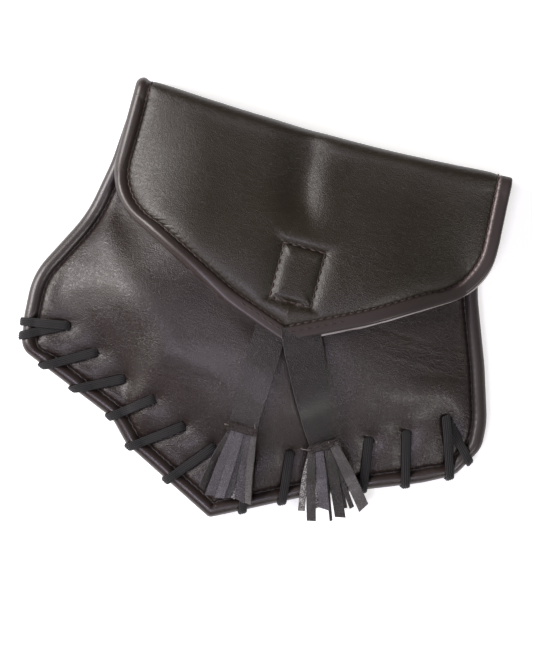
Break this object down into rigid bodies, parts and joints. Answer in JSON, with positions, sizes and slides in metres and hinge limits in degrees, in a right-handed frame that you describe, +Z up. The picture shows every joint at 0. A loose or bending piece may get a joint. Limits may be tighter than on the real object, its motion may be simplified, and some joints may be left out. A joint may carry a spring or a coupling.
{
  "type": "belt pouch",
  "caption": "Leather belt pouch with a pointed foot, a padded pointed flap, a flat lace wound round its edge and two straps with fringed ends.",
  "frame": {"origin": "on the surface that the pouch lies on, under the middle of its bounding box", "axes": "+X to the pouch's right as its front is looked at, +Y from the foot to the fold, +Z up, out of the front; the pouch lies on its back"},
  "size_m": [0.212, 0.1806, 0.0336],
  "materials": {
    "leather": "soft satin grain",
    "strap_leather": "soft satin grain",
    "lace": "matt, ribbed along its length",
    "fastener": "matt"
  },
  "bodies": {
    "root": {"front_panel": "leather", "back_panel": "leather", "flap": "leather", "belt_loop": "leather", "closure_patch": "fastener", "lacing": "lace", "strap_left": "strap_leather", "strap_right": "strap_leather", "tassel_left": "strap_leather", "tassel_right": "strap_leather"}
  },
  "joints": []
}
